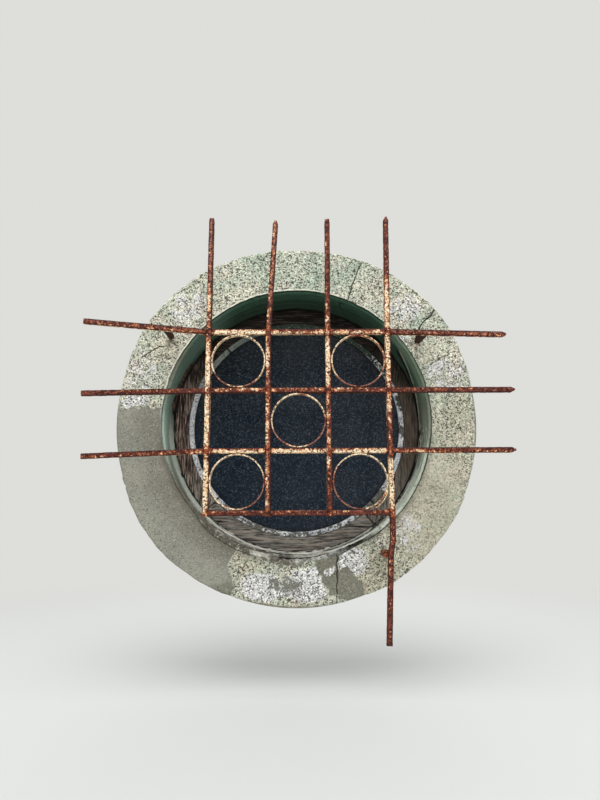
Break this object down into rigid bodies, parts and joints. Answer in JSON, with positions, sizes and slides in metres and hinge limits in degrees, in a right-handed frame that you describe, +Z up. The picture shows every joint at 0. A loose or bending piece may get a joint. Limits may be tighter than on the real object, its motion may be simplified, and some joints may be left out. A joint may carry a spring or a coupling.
{
  "type": "round window",
  "caption": "Round fixed window: raised cast surround with a deep lining, segmented timber frame, beaded glass pane and a stand-off grille of square bars with rings.",
  "frame": {"origin": "centre of the window's opening in the plane of the wall, where the back of the raised ring meets it", "axes": "+Y along the lining sleeve into the wall, so the outside face looks along -Y; +Z up; +X to the right seen from outside"},
  "size_m": [0.9156, 0.252, 0.9027],
  "materials": {
    "cast_surround": "rough weathered lime and cement render with paint remains",
    "painted_lining": "smooth render with worn green grey paint",
    "frame_wood": "bare weathered grey brown timber, open grain",
    "bead_wood": "flaking pale paint over grey timber",
    "window_glass": "dusty dark glass",
    "glazing_putty": "matte",
    "dowel_wood": "bare",
    "spike_iron": "dull",
    "grille_steel": "red brown rust with cream paint remains"
  },
  "bodies": {
    "root": {"bead_bottom": "bead_wood", "bead_left": "bead_wood", "bead_right": "bead_wood", "bead_sprigs": "spike_iron", "bead_top": "bead_wood", "bedding": "glazing_putty", "crossbar_1": "grille_steel", "crossbar_2": "grille_steel", "crossbar_3": "grille_steel", "crossbar_4": "grille_steel", "frame_bottom": "frame_wood", "frame_dowels": "dowel_wood", "frame_left": "frame_wood", "frame_right": "frame_wood", "frame_spikes": "spike_iron", "frame_top": "frame_wood", "lining": "painted_lining", "lug_left": "grille_steel", "lug_lower": "grille_steel", "lug_right": "grille_steel", "pane": "window_glass", "ring_centre": "grille_steel", "ring_lower_left": "grille_steel", "ring_lower_right": "grille_steel", "ring_upper_left": "grille_steel", "ring_upper_right": "grille_steel", "surround": "cast_surround", "upright_1": "grille_steel", "upright_2": "grille_steel", "upright_3": "grille_steel", "upright_4": "grille_steel"}
  },
  "joints": []
}
